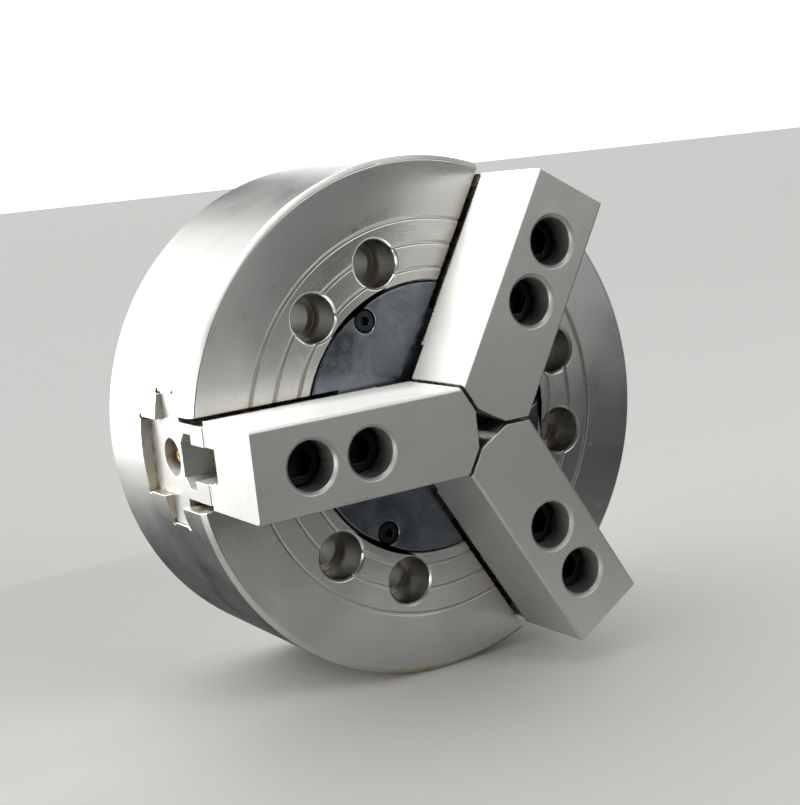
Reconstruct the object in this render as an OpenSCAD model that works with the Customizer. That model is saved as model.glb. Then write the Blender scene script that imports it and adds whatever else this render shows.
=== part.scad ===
// Three-jaw wedge-hook power chuck for a lathe, 8-inch class, with soft top jaws.
// Working axes inside the modules: Z runs along the spindle axis from the back
// rim (0) to the front face, and X points out along a jaw. lay_down() then turns
// the chuck so that its axis lies along Y, the jaws face -Y and +Z is up.

/* [Body] */
// Outside diameter of the body
body_d = 210; // [208:1:214]
// Length of the body from back rim to front face
body_t = 83; // [82:0.5:86]
// Chamfer around the front edge
rim_chamfer = 2; // [0.5:0.5:3]
// Diameter of the register recess that locates on the spindle nose
register_d = 170; // [168:1:172]
// Depth of the register recess
register_depth = 5; // [4:0.5:6]
// Radius of the innermost turned ring on the face
ring_r = 60.4; // [60:0.1:61]
// Distance from one turned ring to the next
ring_pitch = 10; // [9.5:0.5:10.5]

/* [Mounting holes] */
// Bolt circle of the mounting bolts
bolt_circle_d = 133.4; // [132:0.2:135]
// Clearance hole for an M12 bolt
bolt_hole_d = 13.5; // [13:0.5:14]
// Counterbore for the bolt head
bolt_head_d = 18.8; // [18.5:0.1:19.5]
// Depth of that counterbore
bolt_head_depth = 18; // [14:1:20]

/* [Drive] */
// How far the plunger travels
plunger_stroke = 16; // [10:0.5:16]
// How far each jaw moves over that travel
jaw_stroke = 3.7; // [3:0.1:3.7]
// Hole through the draw nut and the plunger, closed in front by the cover
bar_hole_d = 52; // [50:0.5:52]

/* [Master jaws] */
// Width of the master jaw
master_w = 30; // [29:0.5:31]
// Height that the master jaw stands out of the face
master_proud = 3.5; // [3:0.5:4]
// Width of the neck of the T-slot
slot_neck_w = 14; // [13.5:0.5:14.5]
// Width of the head of the T-slot
slot_head_w = 21.5; // [21:0.5:22]
// Pitch of the serrations
tooth_pitch = 1.5; // [1.5:0.5:2]

/* [Soft jaws] */
// Length of a soft jaw from its tip to its outer end
soft_l = 94.6; // [94:0.1:95]
// Width of a soft jaw
soft_w = 34; // [33:0.5:35]
// Height of a soft jaw
soft_h = 38; // [37:0.5:40]
// Distance from the spindle axis to the jaw tips when the chuck is closed
tip_r = 4.9; // [4.5:0.1:5.5]
// Half the width of the flat tip
tip_half_w = 7; // [6.6:0.1:7.4]
// Distance between the two jaw bolts
jaw_bolt_pitch = 25; // [24:0.5:26]

/* [Hidden] */
$fn = 96;

steel = "#b4b6b3";
jaw_steel = "#c4c5c0";
black_oxide = "#2c2f34";
brass = "#b8913c";
rubber = "#1c1c1e";

// Directions of the jaws, seen from the front, from +X towards +Z
upper_angle = 60;
left_angle = 180;
lower_angle = 300;
jaw_angles = [upper_angle, left_angle, lower_angle];
between_jaws = 60;
mount_hole_spread = 15;

// Clearances
slide_gap = 0.05;   // between parts that slide on each other
thread_gap = 0.05;  // between a screw and its hole, which stand for the thread
cut = 1;            // how far a cutting shape runs past the surface it opens

body_r = body_d / 2;
face_z = body_t;

// Plunger and the bores that guide it
sleeve_r = 42;
sleeve_back_z = register_depth + 0.5;
retainer_seat_z = 11.5;
hub_front_z = 30;
head_r = 46;
head_back_z = hub_front_z + 0.5;
plunger_front_z = face_z - 25;
wedge_slope = jaw_stroke / plunger_stroke;
nut_bore_r = 36;
nut_front_z = 28;
front_bore_r = 28;
retainer_thread_r = 38;
seal_z = plunger_front_z - 3.5;
seal_wire_r = 1;
wiper_z = 24;
wiper_r = 45;

// Detent between plunger and draw nut
detent_r = 32;
detent_bore_r = 2.6;
detent_bore_l = 15;
detent_ball_r = 2.5;
detent_ball_z = 1.6;  // centre of the ball, from the front of the nut

// Centre cover
cover_r = 54.7;
cover_t = 7;
cover_seat_z = face_z - cover_t;
cover_recess_r = 55;
cover_tube_r = front_bore_r - 0.1;
cover_tube_back_z = nut_front_z + plunger_stroke + 1;

// M5 screws of the cover
cover_screw_r = 49.5;  // radius of the circle that they lie on
m5_r = 2.4;
m5_l = 12;
m5_head_r = 4.25;
m5_head_h = 5;
m5_flats = 4;
m5_socket = 2.6;
m5_clear_r = 2.75;
m5_pocket_r = 4.7;
m5_pocket_depth = 5.4;

// Slots for the master jaws: depths are measured back from the face
tongue_top = 18;
tongue_bottom = 33;
slot_floor = 48;
tongue_half_w = 26;
slot_mouth_half_w = 18;
corner_relief_r = 1.2;

// Master jaw
master_outer = 100.3;
master_inner = 41;
tongue_inner = 46;
hook_front_z = face_z - 21;
hook_back_z = 37;
hook_neck_half_w = 6.5;
hook_head_half_w = 12;
hook_neck_l = 3.6;
hook_head_l = 5;
neck_depth = 9;
head_depth = 19;
head_corner = 4;
tooth_h = 0.9;
master_top_z = face_z + master_proud;
nipple_depth = 29;
nipple_hole_r = 7.5;
nipple_seat_x = 87.3;
m6_r = 3;
m6_l = 7;

// Soft jaw and its bolts
soft_back_z = master_top_z;
soft_front_z = soft_back_z + soft_h;
soft_outer = tip_r + soft_l;
serration_inner = 25;
tip_relief = 1.2;
long_edge = 1;  // chamfer along both sides of the front face
nose_angle = 60;
keyway_depth = 6.3;
keyway_inner = 36;
outer_bolt_x = 76.3;
bolt_xs = [outer_bolt_x - jaw_bolt_pitch, outer_bolt_x];
bolt_seat_z = soft_front_z - 23;
key_h = 5;  // how far the neck of the T-nut reaches into the keyway
m12_head_r = 9;
m12_head_h = 12;
m12_r = 5.95;
m12_l = 35;
m12_flats = 10;
m12_socket = 6;
hex_over_flats = 2 / sqrt(3);

// Distance of the inclined hook face from the axis at height z, chuck closed
function hook_face(z) = 39.6 + wedge_slope * (plunger_front_z - z);

// Sawtooth outline from x0 to x1, starting and ending in a valley
function teeth(x0, x1, z, h) = [
    for (i = [0 : round((x1 - x0) / tooth_pitch) - 1])
        each [[x0 + i * tooth_pitch, z], [x0 + (i + 0.5) * tooth_pitch, z + h]]
];

module lay_down() { rotate([90, 0, 0]) children(); }
module along_jaw(angle) { rotate([0, 0, angle]) children(); }

// Extrudes an outline of width and height along the jaw, from x0 to x1
module run_along(x0, x1) {
    translate([x0, 0, 0]) rotate([90, 0, 90]) linear_extrude(x1 - x0) children();
}

// Extrudes a side view of distance and height across the jaw
module run_across(half_w) {
    translate([0, half_w, 0]) rotate([90, 0, 0]) linear_extrude(2 * half_w) children();
}

module ring(r_in, r_out, z0, z1) {
    translate([0, 0, z0]) difference() {
        cylinder(r = r_out, h = z1 - z0);
        translate([0, 0, -cut]) cylinder(r = r_in, h = z1 - z0 + 2 * cut);
    }
}

// A socket head cap screw whose head stands on z = 0 and whose shank points down
module cap_screw(head_r, head_h, shank_r, shank_l, flats, socket_depth) {
    edge = head_h / 12;
    difference() {
        rotate_extrude() polygon([
            [0, -shank_l], [shank_r - edge, -shank_l], [shank_r, edge - shank_l],
            [shank_r, 0], [head_r, 0], [head_r, head_h - edge],
            [head_r - edge, head_h], [0, head_h]
        ]);
        translate([0, 0, head_h - socket_depth])
            cylinder(r = flats * hex_over_flats / 2, h = socket_depth + cut, $fn = 6);
    }
}

// ---- body ----

module body_blank() {
    half_groove = 2;
    edge = 1;
    rotate_extrude() polygon([
        [sleeve_r + slide_gap, register_depth],
        [register_d / 2, register_depth], [register_d / 2, 0],
        [body_r - edge, 0], [body_r, edge],
        [body_r, face_z - rim_chamfer], [body_r - rim_chamfer, face_z],
        [cover_recess_r + edge, face_z], [cover_recess_r, face_z - edge],
        [cover_recess_r, cover_seat_z], [head_r + slide_gap, cover_seat_z],
        [head_r + slide_gap, hub_front_z], [sleeve_r + slide_gap, hub_front_z],
        [sleeve_r + slide_gap, wiper_z + half_groove], [wiper_r, wiper_z + half_groove],
        [wiper_r, wiper_z - half_groove], [sleeve_r + slide_gap, wiper_z - half_groove]
    ]);
}

module face_rings() {
    half_w = 0.8;
    depth = 0.8;
    for (i = [0 : 2])
        let (r = ring_r + i * ring_pitch)
            rotate_extrude() polygon([
                [r - half_w * 2, face_z + depth], [r, face_z - depth], [r + half_w * 2, face_z + depth]
            ]);
}

module jaw_slot() {
    gap = slide_gap;
    neck = master_w / 2 + gap;
    wing = tongue_half_w + gap;
    start = 20;
    run_along(start, body_r + cut) polygon([
        [slot_mouth_half_w, face_z + cut], [slot_mouth_half_w, face_z - tongue_top],
        [wing, face_z - tongue_top], [wing, face_z - tongue_bottom],
        [neck, face_z - tongue_bottom], [neck, face_z - slot_floor],
        [-neck, face_z - slot_floor], [-neck, face_z - tongue_bottom],
        [-wing, face_z - tongue_bottom], [-wing, face_z - tongue_top],
        [-slot_mouth_half_w, face_z - tongue_top], [-slot_mouth_half_w, face_z + cut]
    ]);
    for (side = [-1, 1], corner = [[neck, slot_floor], [wing, tongue_bottom], [wing, tongue_top]])
        translate([start, side * corner[0], face_z - corner[1]])
            rotate([0, 90, 0])
                cylinder(r = corner_relief_r, h = body_r - start + cut, $fn = 32);
}

module mounting_hole() {
    rim = 1;
    translate([bolt_circle_d / 2, 0, 0]) {
        cylinder(d = bolt_hole_d, h = face_z);
        translate([0, 0, face_z - bolt_head_depth])
            cylinder(d = bolt_head_d, h = bolt_head_depth + cut);
        translate([0, 0, face_z - rim])
            cylinder(d1 = bolt_head_d, d2 = bolt_head_d + 4 * rim, h = 2 * rim);
    }
}

module lifting_hole() {
    depth = 20;
    tap_r = 4.25;
    translate([body_r - depth, 0, body_t / 2])
        rotate([0, 90, 0]) cylinder(r = tap_r, h = depth + cut);
}

module chuck_body() {
    color(steel) lay_down() difference() {
        body_blank();
        face_rings();
        for (angle = jaw_angles) {
            along_jaw(angle) jaw_slot();
            for (side = [-1, 1])
                along_jaw(angle + between_jaws + side * mount_hole_spread) mounting_hole();
            along_jaw(angle + between_jaws)
                translate([cover_screw_r, 0, cover_seat_z - m5_l])
                    cylinder(r = m5_r + thread_gap, h = m5_l + cut);
        }
        along_jaw(0) lifting_hole();
    }
}

// ---- centre cover ----

module centre_cover() {
    notch_inner = master_inner - 0.7;
    edge = 0.5;
    color(black_oxide) lay_down() difference() {
        rotate_extrude() polygon([
            [0, cover_seat_z], [bar_hole_d / 2, cover_seat_z],
            [bar_hole_d / 2, cover_tube_back_z], [cover_tube_r, cover_tube_back_z],
            [cover_tube_r, cover_seat_z], [cover_r, cover_seat_z],
            [cover_r, face_z - edge], [cover_r - edge, face_z], [0, face_z]
        ]);
        for (angle = jaw_angles) {
            along_jaw(angle)
                translate([notch_inner, -slot_mouth_half_w, cover_seat_z - cut])
                    cube([cover_r, 2 * slot_mouth_half_w, cover_t + 2 * cut]);
            along_jaw(angle + between_jaws) translate([cover_screw_r, 0, face_z]) {
                translate([0, 0, -cover_t - cut]) cylinder(r = m5_clear_r, h = cover_t + cut);
                translate([0, 0, -m5_pocket_depth])
                    cylinder(r = m5_pocket_r, h = m5_pocket_depth + cut);
                translate([0, 0, -edge])
                    cylinder(r1 = m5_pocket_r, r2 = m5_pocket_r + 2 * edge, h = 2 * edge);
            }
        }
    }
}

module cover_screws() {
    color(black_oxide) lay_down()
        for (angle = jaw_angles)
            along_jaw(angle + between_jaws)
                translate([cover_screw_r, 0, face_z - m5_pocket_depth])
                    cap_screw(m5_head_r, m5_head_h, m5_r, m5_l, m5_flats, m5_socket);
}

// ---- plunger, draw nut and their small parts ----

module hook_slot() {
    gap = 0.1;
    side_gap = 0.3;
    open_r = head_r + 10;
    back = hook_back_z - plunger_stroke - 1;
    front = plunger_front_z + cut;
    lip = hook_neck_l - slide_gap - gap;
    depth = hook_neck_l + hook_head_l + gap;
    run_across(master_w / 2 + side_gap) polygon([
        [hook_face(back) - gap, back], [hook_face(front) - gap, front],
        [open_r, front], [open_r, back]
    ]);
    run_across(hook_neck_half_w + gap) polygon([
        [hook_face(back) - depth, back], [hook_face(front) - depth, front],
        [open_r, front], [open_r, back]
    ]);
    run_across(hook_head_half_w + gap) polygon([
        [hook_face(back) - depth, back], [hook_face(front) - depth, front],
        [hook_face(front) - gap - lip, front], [hook_face(back) - gap - lip, back]
    ]);
}

module detent_place() {
    along_jaw(0) translate([detent_r, 0, nut_front_z]) children();
}

module wedge_plunger() {
    groove_half_w = seal_wire_r + 0.1;
    groove_r = front_bore_r + 2 * seal_wire_r;
    edge = 0.8;
    color(steel) lay_down() difference() {
        rotate_extrude() polygon([
            [retainer_thread_r, sleeve_back_z], [sleeve_r - edge, sleeve_back_z],
            [sleeve_r, sleeve_back_z + edge], [sleeve_r, head_back_z],
            [head_r, head_back_z], [head_r, plunger_front_z - edge],
            [head_r - edge, plunger_front_z], [front_bore_r, plunger_front_z],
            [front_bore_r, seal_z + groove_half_w], [groove_r, seal_z + groove_half_w],
            [groove_r, seal_z - groove_half_w], [front_bore_r, seal_z - groove_half_w],
            [front_bore_r, nut_front_z], [nut_bore_r, nut_front_z],
            [nut_bore_r, retainer_seat_z], [retainer_thread_r, retainer_seat_z]
        ]);
        for (angle = jaw_angles) along_jaw(angle) hook_slot();
        detent_place() translate([0, 0, -cut])
            cylinder(r = detent_bore_r, h = detent_bore_l + cut, $fn = 48);
    }
}

module plunger_seal() {
    color(rubber) lay_down() translate([0, 0, seal_z]) rotate_extrude()
        translate([front_bore_r + seal_wire_r - slide_gap, 0]) circle(r = seal_wire_r, $fn = 32);
}

module plunger_wiper() {
    half_h = 1.9;
    lip_r = sleeve_r + 0.02;
    color(rubber) lay_down() ring(lip_r, wiper_r - 0.1, wiper_z - half_h, wiper_z + half_h);
}

module draw_nut() {
    outer_r = nut_bore_r - slide_gap;
    thread_r = 28.9;
    neck_r = 31.3;
    back_z = sleeve_back_z + 0.5;
    front_z = nut_front_z - 0.1;
    lip_r = bar_hole_d / 2 + 0.2;
    lip_z = 24;
    spanner_w = 6;
    spanner_depth = 3;
    dimples = 12;
    color(steel) lay_down() difference() {
        rotate_extrude() polygon([
            [thread_r, back_z], [neck_r, back_z], [neck_r, retainer_seat_z + slide_gap],
            [outer_r, retainer_seat_z + slide_gap],
            [outer_r, front_z], [lip_r, front_z], [lip_r, lip_z], [thread_r, lip_z]
        ]);
        for (i = [0 : 3])
            rotate([0, 0, 45 + 90 * i]) translate([lip_r - cut, -spanner_w / 2, lip_z - cut])
                cube([spanner_depth + cut, spanner_w, front_z - lip_z + 2 * cut]);
        for (i = [0 : dimples - 1])
            rotate([0, 0, 360 / dimples * i]) translate([detent_r, 0, front_z + detent_ball_z])
                sphere(r = detent_ball_r + 0.1, $fn = 32);
    }
}

module draw_nut_retainer() {
    slot_w = 5;
    slot_depth = 2.5;
    back_z = sleeve_back_z + 0.3;
    inner_r = 31.5;
    outer_r = retainer_thread_r - thread_gap;
    color(steel) lay_down() difference() {
        ring(inner_r, outer_r, back_z, retainer_seat_z);
        for (i = [0 : 3])
            rotate([0, 0, 90 * i]) translate([inner_r - cut, -slot_w / 2, back_z - cut])
                cube([outer_r - inner_r + 2 * cut, slot_w, slot_depth + cut]);
    }
}

module detent_ball() {
    color(steel) lay_down() detent_place()
        translate([0, 0, detent_ball_z]) sphere(r = detent_ball_r, $fn = 32);
}

module detent_spring() {
    wire_d = 0.8;
    outer_r = detent_bore_r - 0.4;
    seat_on_ball = 3.8;
    color(steel) lay_down() detent_place()
        ring(outer_r - wire_d, outer_r, seat_on_ball, detent_bore_l - 0.1);
}

// ---- one set of jaw parts, in the frame of its jaw ----

module master_side_view() {
    run = master_outer - master_inner;
    count = floor(run / tooth_pitch);
    x0 = master_inner + (run - count * tooth_pitch) / 2;
    x1 = x0 + count * tooth_pitch;
    floor_z = face_z - slot_floor + slide_gap;
    root_z = master_top_z - tooth_h;
    polygon(concat(
        [[master_inner, root_z]], teeth(x0, x1, root_z, tooth_h), [[x1, root_z]],
        [[master_outer, root_z], [master_outer, floor_z], [hook_face(floor_z), floor_z],
         [hook_face(hook_front_z), hook_front_z], [master_inner, hook_front_z]]
    ));
}

module hook(inward, thickness, half_w) {
    near = inward - (inward > 0 ? 0 : 0.5);
    far = inward + thickness;
    run_across(half_w) polygon([
        [hook_face(hook_back_z) - near, hook_back_z], [hook_face(hook_back_z) - far, hook_back_z],
        [hook_face(hook_front_z) - far, hook_front_z], [hook_face(hook_front_z) - near, hook_front_z]
    ]);
}

module t_outline(neck_w, head_w, top_z, shoulder_z, bottom_z) {
    polygon([
        [neck_w / 2, top_z], [neck_w / 2, shoulder_z], [head_w / 2, shoulder_z],
        [head_w / 2, bottom_z + head_corner], [head_w / 2 - head_corner, bottom_z],
        [head_corner - head_w / 2, bottom_z], [-head_w / 2, bottom_z + head_corner],
        [-head_w / 2, shoulder_z], [-neck_w / 2, shoulder_z], [-neck_w / 2, top_z]
    ]);
}

module nipple_place() {
    translate([nipple_seat_x, 0, face_z - nipple_depth]) rotate([0, 90, 0]) children();
}

module master_jaw() {
    color(jaw_steel) difference() {
        union() {
            run_across(master_w / 2) master_side_view();
            translate([tongue_inner, -tongue_half_w, face_z - tongue_bottom + slide_gap])
                cube([master_outer - tongue_inner, 2 * tongue_half_w,
                      tongue_bottom - tongue_top - 2 * slide_gap]);
            hook(0, hook_neck_l, hook_neck_half_w);
            hook(hook_neck_l, hook_head_l, hook_head_half_w);
        }
        run_along(master_inner - cut, master_outer + cut)
            t_outline(slot_neck_w, slot_head_w, master_top_z + cut,
                      face_z - neck_depth, face_z - head_depth);
        nipple_place() {
            cylinder(r = nipple_hole_r, h = master_outer - nipple_seat_x + cut);
            translate([0, 0, -m6_l - cut])
                cylinder(r = m6_r + thread_gap, h = m6_l + 2 * cut, $fn = 48);
        }
    }
}

module t_nut() {
    play = 0.1;
    end = 9.5;
    top_z = soft_back_z + key_h;
    bottom_z = face_z - head_depth + 0.5;
    color(steel) difference() {
        run_along(bolt_xs[0] - end, bolt_xs[1] + end)
            t_outline(slot_neck_w - 2 * play, slot_head_w - 4 * play, top_z,
                      face_z - neck_depth - slide_gap, bottom_z);
        for (x = bolt_xs)
            translate([x, 0, bottom_z - cut])
                cylinder(r = m12_r + thread_gap, h = top_z - bottom_z + 2 * cut);
    }
}

module soft_side_view() {
    run = soft_outer - serration_inner;
    count = floor(run / tooth_pitch);
    // the valleys line up with the crests of the master jaw
    master_run = master_outer - master_inner;
    phase = master_inner + (master_run - floor(master_run / tooth_pitch) * tooth_pitch) / 2;
    first = ceil((serration_inner - phase) / tooth_pitch);
    x0 = phase + first * tooth_pitch;
    x1 = x0 + (count - 1) * tooth_pitch;
    root_z = soft_back_z - tooth_h + slide_gap;
    polygon(concat(
        [[tip_r, soft_back_z + tip_relief], [serration_inner, soft_back_z + tip_relief],
         [serration_inner, root_z]],
        teeth(x0, x1, root_z, tooth_h),
        [[x1, root_z], [soft_outer, root_z], [soft_outer, soft_front_z], [tip_r, soft_front_z]]
    ));
}

module soft_jaw() {
    nose_l = (soft_w / 2 - tip_half_w) / tan(nose_angle);
    counterbore_r = m12_head_r + 0.3;
    chamfer = 1.3;
    color(jaw_steel) difference() {
        intersection() {
            run_across(soft_w / 2) soft_side_view();
            run_along(0, soft_outer) polygon([
                [soft_w / 2, face_z], [soft_w / 2, soft_front_z - long_edge],
                [soft_w / 2 - long_edge, soft_front_z], [long_edge - soft_w / 2, soft_front_z],
                [-soft_w / 2, soft_front_z - long_edge], [-soft_w / 2, face_z]
            ]);
            translate([0, 0, face_z]) linear_extrude(soft_front_z - face_z + cut) polygon([
                [tip_r, -tip_half_w], [tip_r + nose_l, -soft_w / 2],
                [soft_outer, -soft_w / 2], [soft_outer, soft_w / 2],
                [tip_r + nose_l, soft_w / 2], [tip_r, tip_half_w]
            ]);
        }
        translate([keyway_inner, -slot_neck_w / 2, soft_back_z - tooth_h - cut])
            cube([soft_outer, slot_neck_w, keyway_depth + tooth_h + cut]);
        for (x = bolt_xs) translate([x, 0, 0]) {
            translate([0, 0, soft_back_z]) cylinder(d = bolt_hole_d, h = soft_h);
            translate([0, 0, bolt_seat_z]) cylinder(r = counterbore_r, h = soft_h);
            translate([0, 0, soft_front_z - chamfer])
                cylinder(r1 = counterbore_r, r2 = counterbore_r + 2 * chamfer, h = 2 * chamfer);
        }
    }
}

module jaw_bolts() {
    color(black_oxide)
        for (x = bolt_xs)
            translate([x, 0, bolt_seat_z])
                cap_screw(m12_head_r, m12_head_h, m12_r, m12_l, m12_flats, m12_socket);
}

module grease_nipple() {
    flats = 8;
    hex_h = 3;
    overlap = 0.5;
    collar_r = 2.4;
    collar_top = 5;
    neck_r = 2;
    neck_top = 6.8;
    head_r = 3.2;
    head_z = 8;
    top = 10.4;
    ball_seat_r = 0.8;
    color(brass) nipple_place() difference() {
        union() {
            translate([0, 0, -m6_l]) cylinder(r = m6_r, h = m6_l + overlap, $fn = 48);
            cylinder(r = flats * hex_over_flats / 2, h = hex_h, $fn = 6);
            rotate_extrude($fn = 48) polygon([
                [0, hex_h - overlap], [collar_r, hex_h - overlap], [collar_r, collar_top],
                [neck_r, collar_top + 0.8], [neck_r, neck_top], [head_r, head_z],
                [head_r, head_z + 1], [neck_r, top], [0, top]
            ]);
        }
        translate([0, 0, head_z]) cylinder(r = ball_seat_r, h = top - head_z + cut, $fn = 24);
    }
}

module for_jaw(angle) { lay_down() along_jaw(angle) children(); }

chuck_body();
centre_cover();
cover_screws();
wedge_plunger();
plunger_seal();
plunger_wiper();
draw_nut();
draw_nut_retainer();
detent_ball();
detent_spring();
for_jaw(left_angle) master_jaw();  // master_jaw_left
for_jaw(upper_angle) master_jaw();  // master_jaw_upper
for_jaw(lower_angle) master_jaw();  // master_jaw_lower
for_jaw(left_angle) t_nut();  // t_nut_left
for_jaw(upper_angle) t_nut();  // t_nut_upper
for_jaw(lower_angle) t_nut();  // t_nut_lower
for_jaw(left_angle) soft_jaw();  // soft_jaw_left
for_jaw(upper_angle) soft_jaw();  // soft_jaw_upper
for_jaw(lower_angle) soft_jaw();  // soft_jaw_lower
for_jaw(left_angle) jaw_bolts();  // jaw_bolts_left
for_jaw(upper_angle) jaw_bolts();  // jaw_bolts_upper
for_jaw(lower_angle) jaw_bolts();  // jaw_bolts_lower
for_jaw(left_angle) grease_nipple();  // grease_nipple_left
for_jaw(upper_angle) grease_nipple();  // grease_nipple_upper
for_jaw(lower_angle) grease_nipple();  // grease_nipple_lower
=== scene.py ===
# %% [markdown]
# # Finishing a three-jaw power chuck
# A power chuck holds round work on a lathe. A hydraulic cylinder pulls the wedge
# plunger in its middle, and three inclined hooks draw the jaws in or push them out.
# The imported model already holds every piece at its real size, in metres, with the
# spindle axis along Y and the jaws facing -Y. This lesson gives each piece the
# finish that its maker gave it: turned, ground, milled, blackened or moulded.

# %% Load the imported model
import math

import bmesh
import bpy
from mathutils import Matrix, Vector


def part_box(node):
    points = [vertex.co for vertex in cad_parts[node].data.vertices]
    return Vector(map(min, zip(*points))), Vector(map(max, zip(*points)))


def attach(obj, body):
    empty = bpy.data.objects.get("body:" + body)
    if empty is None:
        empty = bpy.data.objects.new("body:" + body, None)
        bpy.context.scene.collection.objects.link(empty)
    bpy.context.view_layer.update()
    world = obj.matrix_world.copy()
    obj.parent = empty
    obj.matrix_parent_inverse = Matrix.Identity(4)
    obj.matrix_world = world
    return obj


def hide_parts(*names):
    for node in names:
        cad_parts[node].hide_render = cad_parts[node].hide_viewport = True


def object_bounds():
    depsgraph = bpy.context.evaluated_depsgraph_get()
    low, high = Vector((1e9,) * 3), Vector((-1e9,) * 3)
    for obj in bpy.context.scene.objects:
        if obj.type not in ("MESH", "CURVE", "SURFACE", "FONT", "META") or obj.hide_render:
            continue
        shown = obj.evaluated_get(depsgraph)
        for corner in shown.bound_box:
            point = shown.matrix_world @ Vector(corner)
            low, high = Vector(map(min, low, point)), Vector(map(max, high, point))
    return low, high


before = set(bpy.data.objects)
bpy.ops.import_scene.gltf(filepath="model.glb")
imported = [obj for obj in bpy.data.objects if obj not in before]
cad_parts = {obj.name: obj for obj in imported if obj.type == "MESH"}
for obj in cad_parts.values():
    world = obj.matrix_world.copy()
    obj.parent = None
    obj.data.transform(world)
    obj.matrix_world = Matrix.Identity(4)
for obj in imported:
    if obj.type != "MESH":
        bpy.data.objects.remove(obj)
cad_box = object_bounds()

MM = 0.001
JOIN = 0.002 * MM  # corners nearer than this are one corner
SIDES = {"upper": 60, "left": 180, "lower": 300}  # where each jaw points, in degrees

# %% [markdown]
# ## Two helpers for materials
# Paint and steel colours are noted as sRGB hex values, the way a colour picker
# shows them, but a shader works in linear light. One function converts them.
# The other adds a node to a material, sets its options and fills its sockets
# with values or links, so a whole finish reads as a short list.

# %% Colour and node helpers
def linear(hex_colour):
    """Turn an sRGB hex colour into linear RGBA."""
    channels = [int(hex_colour[i:i + 2], 16) / 255 for i in (1, 3, 5)]
    return tuple(c / 12.92 if c <= 0.04045 else ((c + 0.055) / 1.055) ** 2.4 for c in channels) + (1.0,)


def add(tree, kind, sockets=None, **options):
    """Add a node, set its options, then set or link the named input sockets."""
    node = tree.nodes.new(kind)
    for name, value in options.items():
        setattr(node, name, value)
    for name, value in (sockets or {}).items():
        if isinstance(value, bpy.types.NodeSocket):
            tree.links.new(value, node.inputs[name])
        else:
            node.inputs[name].default_value = value
    return node


print("#808080 is", round(linear("#808080")[0], 3), "in linear light")

# %% [markdown]
# ## Marks that tools and hands leave
# A lathe tool leaves a spiral so fine that it reads as rings: on the face they
# change with the distance from the axis, on the outside with the distance along
# it. One number, radius minus Y, follows both, so one noise along that number
# marks the whole turned piece. A surface grinder or a milling cutter leaves
# straight lines instead, so there the number is the distance across the stroke.
# Real feed marks are 0.1 to 0.2 mm apart. They are drawn about three times
# coarser, because finer ones would vanish between the picture's dots.

# %% Feed marks of the lathe and the grinder
def lathe_marks(tree, place, spacing_mm):
    """Noise that changes only across the rings a turning tool leaves."""
    flat = add(tree, "ShaderNodeVectorMath", {0: place, 1: (1, 0, 1)}, operation="MULTIPLY")
    radius = add(tree, "ShaderNodeVectorMath", {0: flat.outputs[0]}, operation="LENGTH")
    axes = add(tree, "ShaderNodeSeparateXYZ", {0: place})
    across = add(tree, "ShaderNodeMath", {0: radius.outputs["Value"], 1: axes.outputs["Y"]},
                 operation="SUBTRACT")
    return add(tree, "ShaderNodeTexNoise", {"W": across.outputs[0], "Scale": 1 / (spacing_mm * MM),
                                            "Detail": 3.0}, noise_dimensions="1D").outputs["Fac"]


def ground_marks(tree, place, degrees, spacing_mm):
    """Noise drawn out into lines along a jaw that points at this many degrees."""
    turned = add(tree, "ShaderNodeVectorRotate", {"Vector": place, "Angle": math.radians(degrees)},
                 rotation_type="Y_AXIS")
    drawn = add(tree, "ShaderNodeVectorMath", {0: turned.outputs[0], 1: (0.03, 1, 1)}, operation="MULTIPLY")
    return add(tree, "ShaderNodeTexNoise", {"Vector": drawn.outputs[0], "Scale": 1 / (spacing_mm * MM),
                                            "Detail": 3.0}).outputs["Fac"]


# %% [markdown]
# Handling leaves three more marks. Swarf and spanners scratch the steel in any
# direction. Dust and tiny dings are specks. Coolant and oil dry into a dull film
# where a cloth doesn't reach: in corners, slots and grooves, and in the gaps
# between pieces. Those places are found with ambient occlusion, so the film's
# darkening there is partly painted shade. Edges are found by comparing the true
# surface with one that has its edges rounded.

# %% Scratches, specks, oil film with painted shade, and an edge mask
def scratches(tree, place, spacing_mm):
    """Thin broken lines in two directions, as 0 to 1."""
    lines = []
    for turn, seed in ((0.5, 0.0), (2.2, 7.0)):
        turned = add(tree, "ShaderNodeVectorRotate", {"Vector": place, "Axis": (0.2, 1, 0.35), "Angle": turn})
        drawn = add(tree, "ShaderNodeVectorMath", {0: turned.outputs[0], 1: (0.05, 1, 1), 2: (seed, 0, 0)},
                    operation="MULTIPLY_ADD")
        noise = add(tree, "ShaderNodeTexNoise", {"Vector": drawn.outputs[0], "Scale": 1 / (spacing_mm * MM),
                                                 "Detail": 1.0})
        thin = add(tree, "ShaderNodeMapRange", {"Value": noise.outputs["Fac"],
                                                "From Min": 0.72, "From Max": 0.78})
        lines.append(thin.outputs[0])
    return add(tree, "ShaderNodeMath", {0: lines[0], 1: lines[1]}, operation="MAXIMUM").outputs[0]


def specks(tree, place, spacing_mm, share):
    """Small round specks that cover roughly this share of the surface."""
    cells = add(tree, "ShaderNodeTexVoronoi", {"Vector": place, "Scale": 1 / (spacing_mm * MM)})
    chosen = add(tree, "ShaderNodeMath", {0: cells.outputs["Color"], 1: 1 - share}, operation="GREATER_THAN")
    near = add(tree, "ShaderNodeMapRange", {"Value": cells.outputs["Distance"],
                                            "From Min": 0.28, "From Max": 0.12})
    dot = add(tree, "ShaderNodeMath", {0: chosen.outputs[0], 1: near.outputs[0]}, operation="MULTIPLY")
    return dot.outputs[0]


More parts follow.
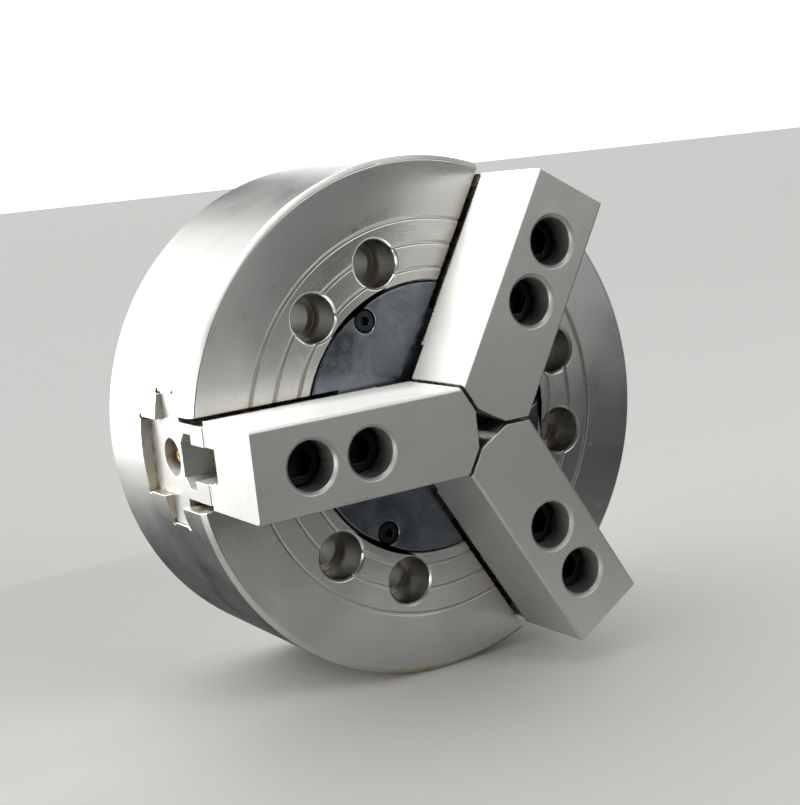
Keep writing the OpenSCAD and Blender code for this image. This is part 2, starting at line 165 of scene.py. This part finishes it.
def oil_film_and_shade(tree, place, reach_mm):
    """Oil and dirt in deep corners, broken up by patches; the darkening comes from ambient occlusion, so it
    is partly painted shade.
    """
    corner = add(tree, "ShaderNodeAmbientOcclusion", {"Distance": reach_mm * MM}, samples=6)
    deep = add(tree, "ShaderNodeMapRange", {"Value": corner.outputs["AO"], "From Min": 0.85, "From Max": 0.4})
    patches = add(tree, "ShaderNodeTexNoise", {"Vector": place, "Scale": 1 / (4 * MM), "Detail": 4.0})
    patchy = add(tree, "ShaderNodeMapRange", {"Value": patches.outputs["Fac"],
                                              "From Min": 0.3, "From Max": 0.6})
    film = add(tree, "ShaderNodeMath", {0: deep.outputs[0], 1: patchy.outputs[0]}, operation="MULTIPLY")
    return film.outputs[0]


def edge_mask(tree, radius_mm):
    """1 on an edge, 0 on a flat."""
    rounded = add(tree, "ShaderNodeBevel", {"Radius": radius_mm * MM}, samples=4)
    true_face = add(tree, "ShaderNodeNewGeometry")
    alike = add(tree, "ShaderNodeVectorMath", {0: rounded.outputs[0], 1: true_face.outputs["Normal"]},
                operation="DOT_PRODUCT")
    edge = add(tree, "ShaderNodeMapRange", {"Value": alike.outputs["Value"],
                                            "From Min": 0.99, "From Max": 0.9})
    return edge.outputs[0]


print("marks ready: lathe, grinder, scratches, specks, oil film, worn edges")

# %% [markdown]
# ## Steel in several finishes
# Every steel piece is the same metal to the eye, and what differs is how its
# surface was made. So one function builds a bare steel from its tint, its
# roughness and its tool marks, and adds the scratches, specks, oil film and bright
# edges that all of them share. The bright edges are partly rubbed wear and partly
# a painted highlight. The base colour of a metal is the light it reflects, a little
# over half for steel, and its IOR stays at the default. The oil film is darker where
# ambient occlusion finds corners, so it is partly painted shade. It is dark in the
# jaws' slots and a thin pale gold on the body, which is wiped more often, and it
# makes the metal under it duller.

# %% Bare steel
def bare_steel(name, bright, dull, roughness, marks, film="#4a3e24", mark_depth_mm=0.003, anisotropy=0.0):
    """A machined steel: marks is a function that draws its tool marks."""
    material = bpy.data.materials.new(name)
    material.use_nodes = True
    tree = material.node_tree
    shader = tree.nodes["Principled BSDF"]
    place = add(tree, "ShaderNodeTexCoord").outputs["Object"]
    lines = marks(tree, place)
    cloud = add(tree, "ShaderNodeTexNoise", {"Vector": place, "Scale": 1 / (22 * MM),
                                             "Detail": 4.0}).outputs["Fac"]
    mottle = add(tree, "ShaderNodeMath", {0: lines, 1: 0.5, 2: cloud}, operation="MULTIPLY_ADD")
    tone = add(tree, "ShaderNodeMapRange", {"Value": mottle.outputs[0], "From Min": 0.5, "From Max": 1.0})
    metal = add(tree, "ShaderNodeMix", {"Factor": tone.outputs[0], 6: linear(dull), 7: linear(bright)},
                data_type="RGBA")
    scratch = scratches(tree, place, spacing_mm=0.8)
    speck = specks(tree, place, spacing_mm=1.5, share=0.05)
    marked = add(tree, "ShaderNodeMath", {0: scratch, 1: speck}, operation="MAXIMUM")
    marked_share = add(tree, "ShaderNodeMath", {0: marked.outputs[0], 1: 0.25}, operation="MULTIPLY")
    light = add(tree, "ShaderNodeMix", {"Factor": marked_share.outputs[0], 6: metal.outputs[2],
                                        7: linear("#dededb")}, data_type="RGBA")
    # The film colour goes where ambient occlusion finds corners and gaps, so its darkening there is partly
    # oil and partly painted shade.
    oil_and_shade = oil_film_and_shade(tree, place, reach_mm=9)
    oiled_and_shaded = add(tree, "ShaderNodeMix", {"Factor": oil_and_shade, 6: light.outputs[2], 7: linear(film)},
                data_type="RGBA")
    # Edges are mixed towards a brighter steel: partly rubbed wear, partly a painted highlight.
    edge = edge_mask(tree, radius_mm=0.5)
    rubbed_and_highlit = add(tree, "ShaderNodeMath", {0: edge, 1: 0.6}, operation="MULTIPLY")
    edge_toned = add(tree, "ShaderNodeMix", {"Factor": rubbed_and_highlit.outputs[0], 6: oiled_and_shaded.outputs[2],
                                       7: linear("#e6e6e2")}, data_type="RGBA")
    tree.links.new(edge_toned.outputs[2], shader.inputs["Base Color"])
    rough = add(tree, "ShaderNodeMapRange", {"Value": mottle.outputs[0], "From Min": 0.5, "From Max": 1.0,
                                             "To Min": roughness + 0.05, "To Max": roughness - 0.05})
    rougher = add(tree, "ShaderNodeMath", {0: marked.outputs[0], 1: 0.15, 2: rough.outputs[0]},
                  operation="MULTIPLY_ADD")
    filmed = add(tree, "ShaderNodeMath", {0: oil_and_shade, 1: 0.3, 2: rougher.outputs[0]}, operation="MULTIPLY_ADD")
    tree.links.new(filmed.outputs[0], shader.inputs["Roughness"])
    dent = add(tree, "ShaderNodeMath", {0: marked.outputs[0], 1: -1.5, 2: lines}, operation="MULTIPLY_ADD")
    relief = add(tree, "ShaderNodeBump", {"Height": dent.outputs[0], "Strength": 1.0,
                                          "Distance": mark_depth_mm * MM})
    tree.links.new(relief.outputs[0], shader.inputs["Normal"])
    shader.inputs["Metallic"].default_value = 1.0
    if anisotropy:
        shader.inputs["Anisotropic"].default_value = anisotropy
        around = add(tree, "ShaderNodeTangent", direction_type="RADIAL", axis="Y")
        tree.links.new(around.outputs[0], shader.inputs["Tangent"])
    return material


def turned_marks(tree, place):
    """The feed marks that every turned piece here has."""
    return lathe_marks(tree, place, spacing_mm=0.4)


turned_steel = bare_steel("turned alloy steel", "#c6c6c3", "#b6b6b3", 0.31, turned_marks,
                          film="#bdb290", mark_depth_mm=0.0012, anisotropy=0.7)
hardened_steel = bare_steel("hardened ground steel", "#b4b4b2", "#979896", 0.28, turned_marks)
print("steels:", turned_steel.name, "and", hardened_steel.name)

# %% [markdown]
# Jaws are ground along their length, so their lines follow the jaw. The texture
# space is turned by each jaw's own angle, which takes one material for each jaw.
# Soft top jaws are unhardened and have a slightly coarser, matt finish. Master
# jaws are hardened and ground, and their deep slots hold more oil film, which is
# partly painted shade.

# %% Ground steel for the jaws
ground_steel = {}
slide_steel = {}
for side, degrees in SIDES.items():
    ground_steel[side] = bare_steel(f"milled soft jaw steel, {side}", "#cdccc9", "#bfbfbb", 0.55,
                                    lambda t, p: ground_marks(t, p, degrees, 0.3), mark_depth_mm=0.001)
    slide_steel[side] = bare_steel(f"ground master jaw steel, {side}", "#cfceca", "#b9b8b2", 0.42,
                                   lambda t, p: ground_marks(t, p, degrees, 0.35))
print("jaw steels for", ", ".join(SIDES))

# %% [markdown]
# ## Black oxide
# Socket screws and the centre cover are blackened in a hot salt bath. The oxide
# is only a micrometre thick, so the metal under it still gives a dark, faintly
# blue gloss, and oil fills its pores. It rubs through to steel at the edges.

# %% Black oxide
def black_oxide(name, colour, dusty, roughness):
    """Blackened steel with dust, light scratches and rubbed edges."""
    material = bpy.data.materials.new(name)
    material.use_nodes = True
    tree = material.node_tree
    shader = tree.nodes["Principled BSDF"]
    place = add(tree, "ShaderNodeTexCoord").outputs["Object"]
    cloud = add(tree, "ShaderNodeTexNoise", {"Vector": place, "Scale": 1 / (12 * MM), "Detail": 6.0,
                                             "Roughness": 0.65}).outputs["Fac"]
    dust = add(tree, "ShaderNodeMapRange", {"Value": cloud, "From Min": 0.45, "From Max": 0.75,
                                            "To Max": 0.55})
    speck = specks(tree, place, spacing_mm=1.1, share=0.1)
    dusted = add(tree, "ShaderNodeMath", {0: dust.outputs[0], 1: speck}, operation="MAXIMUM")
    film = add(tree, "ShaderNodeMix", {"Factor": dusted.outputs[0], 6: linear(colour), 7: linear(dusty)},
               data_type="RGBA")
    edge = edge_mask(tree, radius_mm=0.3)
    patch = add(tree, "ShaderNodeMath", {0: edge, 1: cloud}, operation="MULTIPLY")
    edge_toned = add(tree, "ShaderNodeMix", {"Factor": patch.outputs[0], 6: film.outputs[2], 7: linear("#9a9a98")},
               data_type="RGBA")
    tree.links.new(edge_toned.outputs[2], shader.inputs["Base Color"])
    rough = add(tree, "ShaderNodeMapRange", {"Value": cloud, "From Min": 0.3, "From Max": 0.7,
                                             "To Min": roughness - 0.08, "To Max": roughness + 0.12})
    tree.links.new(rough.outputs[0], shader.inputs["Roughness"])
    grain = add(tree, "ShaderNodeTexNoise", {"Vector": place, "Scale": 1 / (0.5 * MM),
                                             "Detail": 2.0}).outputs["Fac"]
    relief = add(tree, "ShaderNodeBump", {"Height": grain, "Strength": 1.0, "Distance": 0.006 * MM})
    tree.links.new(relief.outputs[0], shader.inputs["Normal"])
    shader.inputs["Metallic"].default_value = 0.9
    return material


cover_black = black_oxide("black oxide, cover", "#62686f", "#84888c", 0.26)
screw_black = black_oxide("black oxide, screws", "#1d1e22", "#3a3b3e", 0.36)
print("blackened:", cover_black.name, "and", screw_black.name)

# %% [markdown]
# ## Brass and rubber
# Grease nipples are turned from brass: yellow, a little tarnished, greasy, with
# the same oil film as partly painted shade in their corners. The seals are moulded
# nitrile rubber, a near-black dielectric with an IOR of 1.52.

# %% Brass and nitrile rubber
brass = bare_steel("turned brass", "#c79a4b", "#9c7434", 0.26, turned_marks, film="#5a4420")


def nitrile_rubber():
    """Moulded black rubber with a dull oil bloom."""
    material = bpy.data.materials.new("moulded nitrile rubber")
    material.use_nodes = True
    tree = material.node_tree
    shader = tree.nodes["Principled BSDF"]
    place = add(tree, "ShaderNodeTexCoord").outputs["Object"]
    bloom = add(tree, "ShaderNodeTexNoise", {"Vector": place, "Scale": 1 / (3 * MM),
                                             "Detail": 4.0}).outputs["Fac"]
    skin = add(tree, "ShaderNodeMix", {"Factor": bloom, 6: linear("#17171a"), 7: linear("#2b2b2c")},
               data_type="RGBA")
    tree.links.new(skin.outputs[2], shader.inputs["Base Color"])
    rough = add(tree, "ShaderNodeMapRange", {"Value": bloom, "To Min": 0.45, "To Max": 0.7})
    tree.links.new(rough.outputs[0], shader.inputs["Roughness"])
    relief = add(tree, "ShaderNodeBump", {"Height": bloom, "Strength": 1.0, "Distance": 0.01 * MM})
    tree.links.new(relief.outputs[0], shader.inputs["Normal"])
    shader.inputs["IOR"].default_value = 1.52
    return material


rubber = nitrile_rubber()
print("also:", brass.name, "and", rubber.name)

# %% [markdown]
# ## Broken edges
# No machined edge is truly sharp: a file or a chamfer cutter takes it off, and
# that thin band catches the light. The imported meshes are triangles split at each
# edge, so three modifiers come first: weld joins the corners, dissolve merges the
# flat triangles, and then bevel finds clean edges to cut. Weighted normals keep
# the big faces flat beside the narrow bands. Modifiers leave the mesh itself as
# it was packed.

# %% Finish and edge width for every node
def break_edges(item, edge_mm):
    """Add the modifiers that take the sharp corners off a triangle mesh."""
    weld = item.modifiers.new("join corners", "WELD")
    weld.merge_threshold = JOIN
    flat = item.modifiers.new("merge flats", "DECIMATE")
    flat.decimate_type = "DISSOLVE"
    flat.angle_limit = math.radians(0.3)
    bevel = item.modifiers.new("broken edges", "BEVEL")
    bevel.width = edge_mm * MM
    bevel.segments = 2
    bevel.limit_method = "ANGLE"
    bevel.angle_limit = math.radians(35)
    bevel.use_clamp_overlap = False
    bevel.loop_slide = False


def finish_node(name, material, edge_mm):
    """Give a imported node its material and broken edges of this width."""
    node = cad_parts[name]
    node.data.materials.clear()
    node.data.materials.append(material)
    break_edges(node, edge_mm)
    normals = node.modifiers.new("even shading", "WEIGHTED_NORMAL")
    normals.keep_sharp = False


FINISH = {
    "chuck_body": (turned_steel, 0.3), "centre_cover": (cover_black, 0.25),
    "cover_screws": (screw_black, 0.15), "wedge_plunger": (hardened_steel, 0.25),
    "plunger_seal": (rubber, 0.05), "plunger_wiper": (rubber, 0.2),
    "draw_nut": (hardened_steel, 0.25), "draw_nut_retainer": (hardened_steel, 0.25),
    "detent_ball": (hardened_steel, 0.02), "detent_spring": (hardened_steel, 0.1),
}
for side in SIDES:
    FINISH["master_jaw_" + side] = (slide_steel[side], 0.25)
    FINISH["t_nut_" + side] = (hardened_steel, 0.3)
    FINISH["soft_jaw_" + side] = (ground_steel[side], 0.3)
    FINISH["jaw_bolts_" + side] = (screw_black, 0.25)
    FINISH["grease_nipple_" + side] = (brass, 0.12)
for name, (material, edge_mm) in FINISH.items():
    finish_node(name, material, edge_mm)
print(f"{len(FINISH)} nodes finished")

# %% [markdown]
# ## The thread of the draw nut
# The draw tube screws into the nut from the back, in an M60 thread of 2 mm pitch.
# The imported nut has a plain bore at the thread's minor diameter. A helix of the
# groove's own outline is swept and cut from a copy of the nut, as a threading tool
# would cut it, and stops short of the lip where the tool runs out.

# %% Cut thread
def helix_cutter(minor_r_mm, major_r_mm, pitch_mm, start_mm, end_mm):
    """A swept groove outline along Y, from start to end, for cutting an inside thread."""
    open_r = minor_r_mm - 0.15  # a little inside the bore, so that the cut breaks through
    half_mouth, half_root = 0.48 * pitch_mm, pitch_mm / 16
    outline = [(open_r, half_mouth), (major_r_mm, half_root), (major_r_mm, -half_root), (open_r, -half_mouth)]
    steps = 96
    count = int((end_mm - start_mm) / pitch_mm * steps)
    mesh = bpy.data.meshes.new("thread cutter")
    build = bmesh.new()
    rings = []
    for i in range(count + 1):
        angle = 2 * math.pi * i / steps
        along = start_mm + pitch_mm * i / steps
        rings.append([build.verts.new(Vector((r * math.cos(angle), along + across, r * math.sin(angle))) * MM)
                      for r, across in outline])
    for one, two in zip(rings, rings[1:]):
        for k in range(4):
            build.faces.new((one[k], two[k], two[k - 3], one[k - 3]))
    build.faces.new(rings[0])
    build.faces.new(rings[-1])
    bmesh.ops.recalc_face_normals(build, faces=build.faces[:])
    build.to_mesh(mesh)
    build.free()
    return bpy.data.objects.new("thread cutter", mesh)


def with_thread(name, node, cutter):
    """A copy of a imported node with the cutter's shape taken out."""
    blank = bpy.data.objects.new(name + " blank", node.data.copy())
    for item in (blank, cutter):
        bpy.context.scene.collection.objects.link(item)
    weld = blank.modifiers.new("join corners", "WELD")
    weld.merge_threshold = JOIN
    cut = blank.modifiers.new("thread", "BOOLEAN")
    cut.operation = "DIFFERENCE"
    cut.solver = "EXACT"
    cut.object = cutter
    view = bpy.context.evaluated_depsgraph_get()
    mesh = bpy.data.meshes.new_from_object(blank.evaluated_get(view))
    build = bmesh.new()
    build.from_mesh(mesh)
    bmesh.ops.remove_doubles(build, verts=build.verts[:], dist=JOIN / 2)
    for face in build.faces:
        face.smooth = True
    for edge in build.edges:
        edge.smooth = len(edge.link_faces) == 2 and edge.calc_face_angle() < math.radians(30)
    build.to_mesh(mesh)
    build.free()
    for item in (blank, cutter):
        bpy.data.objects.remove(item)
    piece = bpy.data.objects.new(name, mesh)
    bpy.context.scene.collection.objects.link(piece)
    return piece


PITCH, MINOR_R, MAJOR_R, THREAD_LENGTH = 2.0, 28.9, 30.0, 16.5
nut_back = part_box("draw_nut")[1].y / MM
tool_path = helix_cutter(MINOR_R, MAJOR_R, PITCH, nut_back - THREAD_LENGTH, nut_back + PITCH)
threaded_nut = with_thread("draw_nut_threaded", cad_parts["draw_nut"], tool_path)
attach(threaded_nut, "draw_nut")
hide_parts("draw_nut")
print(len(threaded_nut.data.polygons), "faces on", threaded_nut.name)

# %% [markdown]
# ## The detent spring
# A small ball behind a spring clicks into dimples on the draw nut and stops it
# from turning on its own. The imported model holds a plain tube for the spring, so
# a real coil of round wire takes its place: one and a half closed turns at each end
# and open turns between them, swept along a helix inside the same box.

# %% Coil spring
def coil_spring(name, low, high, wire_mm, open_turns):
    """A helix of round wire along Y that fills this box, with closed ends."""
    wire = wire_mm * MM
    middle = (low + high) / 2
    coil_r = (high.x - low.x) / 2 - wire / 2
    start, end = low.y + wire / 2, high.y - wire / 2
    closed = 1.5
    closed_pitch = 1.02 * wire
    run = end - start - 2 * closed * closed_pitch
    total = open_turns + 2 * closed
    steps, sides = int(total * 24), 10
    mesh = bpy.data.meshes.new(name)
    build = bmesh.new()
    rings = []
    for i in range(steps + 1):
        turn = total * i / steps
        share = min(max((turn - closed) / open_turns, 0), 1)
        dead = closed_pitch * (min(turn, closed) + max(turn - closed - open_turns, 0))
        angle = 2 * math.pi * turn
        out = Vector((math.cos(angle), 0, math.sin(angle)))
        hub = Vector((middle.x, start + dead + share * run, middle.z)) + out * coil_r
        rings.append([build.verts.new(hub + wire / 2 * (math.cos(a) * out + math.sin(a) * Vector((0, 1, 0))))
                      for a in (2 * math.pi * k / sides for k in range(sides))])
    for one, two in zip(rings, rings[1:]):
        for k in range(sides):
            build.faces.new((one[k - 1], two[k - 1], two[k], one[k]))
    build.faces.new(rings[0])
    build.faces.new(rings[-1])
    bmesh.ops.recalc_face_normals(build, faces=build.faces[:])
    for face in build.faces:
        face.smooth = len(face.verts) == 4
    build.to_mesh(mesh)
    build.free()
    mesh.materials.append(hardened_steel)
    spring = bpy.data.objects.new(name, mesh)
    bpy.context.scene.collection.objects.link(spring)
    return spring


spring = coil_spring("detent_coil", *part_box("detent_spring"), wire_mm=0.8, open_turns=5)
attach(spring, "plunger")
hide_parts("detent_spring")
print(len(spring.data.polygons), "faces on", spring.name)

# %% [markdown]
# ## Floor, light and camera
# Bare metal shows its surroundings more than itself, so the light makes the
# picture. The chuck stands near the corner of a pale table, and the room in front
# is dark, so the lower half of the face darkens. A bright wall behind whitens the
# faces that turn away from the viewer. A soft panel in front greys the upper half of
# the face, a key light above rakes over the jaws, and small panels on the left light
# the jaw's end, the rim and the ring grooves. Two black cards, which only mirrors
# see, darken the top and the bottom of the body's side.

# %% Floor
def pale_floor(height, corner, degrees, size):
    """A plain matt table top from one corner; its right edge points this far round from +X."""
    mesh = bpy.data.meshes.new("floor")
    along = Vector((math.cos(math.radians(degrees)), math.sin(math.radians(degrees)), 0)) * size
    back = Vector((-along.y, along.x, 0))
    near = Vector((*corner, height))
    corners = [near, near + along, near + along + back, near + back]
    mesh.from_pydata(corners, [], [(0, 1, 2, 3)])
    floor = bpy.data.objects.new("floor", mesh)
    bpy.context.scene.collection.objects.link(floor)
    material = bpy.data.materials.new("pale matt floor")
    material.use_nodes = True
    shader = material.node_tree.nodes["Principled BSDF"]
    shader.inputs["Base Color"].default_value = linear("#dcdcd9")
    shader.inputs["Roughness"].default_value = 0.8
    mesh.materials.append(material)
    return floor


table_top = cad_box[0].z - 0.2 * MM
table = pale_floor(table_top, corner=(0.004, -0.3), degrees=42, size=30.0)
print("table top at", round(table_top / MM, 1), "mm")

# %% Studio light
def face_target(item, place, target):
    """Put an item in its place with its -Z side towards the target."""
    item.location = place
    item.rotation_euler = (Vector(target) - Vector(place)).to_track_quat("-Z", "Y").to_euler()
    bpy.context.scene.collection.objects.link(item)


def light_panel(name, place, target, size, watts, only=None):
    """A square soft panel, which may be kept off everything but one collection."""
    lamp = bpy.data.lights.new(name, "AREA")
    lamp.energy = watts
    lamp.shape = "SQUARE"
    lamp.size = size
    panel = bpy.data.objects.new(name, lamp)
    face_target(panel, place, target)
    if only:
        panel.light_linking.receiver_collection = only


def black_flag(name, place, target, width, height):
    """A matt black card that only shows as a dark band in bright metal."""
    mesh = bpy.data.meshes.new(name)
    x, y = width / 2, height / 2
    mesh.from_pydata([(-x, -y, 0), (x, -y, 0), (x, y, 0), (-x, y, 0)], [], [(0, 1, 2, 3)])
    material = bpy.data.materials.new("black felt")
    material.use_nodes = True
    shader = material.node_tree.nodes["Principled BSDF"]
    shader.inputs["Base Color"].default_value = linear("#1c1c1c")
    shader.inputs["Roughness"].default_value = 0.9
    mesh.materials.append(material)
    flag = bpy.data.objects.new(name, mesh)
    flag.visible_camera = flag.visible_shadow = flag.visible_diffuse = False
    face_target(flag, place, target)


centre = (cad_box[0] + cad_box[1]) / 2
chuck_only = bpy.data.collections.new("chuck only")
for item in [*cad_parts.values(), threaded_nut, spring]:
    chuck_only.objects.link(item)
table_only = bpy.data.collections.new("table only")
table_only.objects.link(table)
light_panel("front panel", (0.7, -1.58, 0.72), centre, 1.0, 10.0)
light_panel("key", (-0.55, 0.03, 1.1), (0, -0.1, 0.02), 0.5, 60.0, only=chuck_only)
light_panel("left panel", (-0.33, 0.5, 0.1), (-0.1, -0.1, 0.0), 0.4, 1.2, only=chuck_only)
light_panel("jaw end panel", (-0.62, 0.5, -0.02), (-0.1, -0.08, 0.0), 0.5, 1.8, only=chuck_only)
light_panel("rim panel", (-1.2, -0.5, -0.1), (-0.05, -0.08, 0.0), 0.5, 5.0, only=chuck_only)
black_flag("high flag", (0.33, 1.27, 0.56), centre, 0.42, 0.4)
black_flag("low flag", (-0.16, 0.08, table_top + 1.2 * MM), (-0.16, 0.08, -1.0), 0.55, 0.28)

# %% Table light and room
table_light = bpy.data.objects.new("table light", bpy.data.lights.new("table light", "SUN"))
table_light.data.energy = 0.8
table_light.data.angle = math.radians(100)
face_target(table_light, (0, 0, 2), (0, 0, 0))
table_light.light_linking.receiver_collection = table_only

world = bpy.data.worlds.new("bright wall behind, dark room in front")
world.use_nodes = True
sky = world.node_tree
heading = add(sky, "ShaderNodeTexCoord").outputs["Generated"]
towards_wall = add(sky, "ShaderNodeVectorMath", {0: heading, 1: Vector((-0.3, 0.85, 0.45)).normalized()},
                   operation="DOT_PRODUCT")
upwards = add(sky, "ShaderNodeSeparateXYZ", {0: heading}).outputs["Z"]
wall = add(sky, "ShaderNodeMapRange", {"Value": towards_wall.outputs["Value"],
                                       "From Min": -0.2, "From Max": 0.6,
                                       "To Min": 0.06, "To Max": 1.6}, interpolation_type="SMOOTHSTEP")
ceiling = add(sky, "ShaderNodeMapRange", {"Value": upwards, "From Min": 0.4, "From Max": 0.8,
                                          "To Min": 1.0, "To Max": 0.3}, interpolation_type="SMOOTHSTEP")
glow = add(sky, "ShaderNodeMath", {0: wall.outputs[0], 1: ceiling.outputs[0]}, operation="MULTIPLY")
backdrop = sky.nodes["Background"]
backdrop.inputs["Color"].default_value = linear("#ffffff")
sky.links.new(glow.outputs[0], backdrop.inputs["Strength"])
bpy.context.scene.world = world
bpy.context.scene.view_settings.view_transform = "Standard"

# %% Camera
CAMERA_PLACE = Vector((-310.9, -586.9, 103.1)) * MM
PAN, TILT, ROLL = (math.radians(a) for a in (-30.58, -9.19, -6.32))
forward = Vector((-math.sin(PAN) * math.cos(TILT), math.cos(PAN) * math.cos(TILT), math.sin(TILT)))
level = forward.cross(Vector((0, 0, 1))).normalized()
upright = level.cross(forward)
right = math.cos(ROLL) * level + math.sin(ROLL) * upright
top = math.cos(ROLL) * upright - math.sin(ROLL) * level
lens = bpy.data.cameras.new("camera")
lens.lens = 66.5
lens.sensor_width = 36
lens.clip_start = 0.01
camera = bpy.data.objects.new("camera", lens)
camera.matrix_world = Matrix((right, top, -forward)).transposed().to_4x4()
camera.location = CAMERA_PLACE
bpy.context.scene.collection.objects.link(camera)
bpy.context.scene.camera = camera
print("camera", [round(c, 3) for c in CAMERA_PLACE], "lens", lens.lens)

# %% Print the CAD box
print("CAD box", [tuple(round(v / MM, 1) for v in c) for c in cad_box])
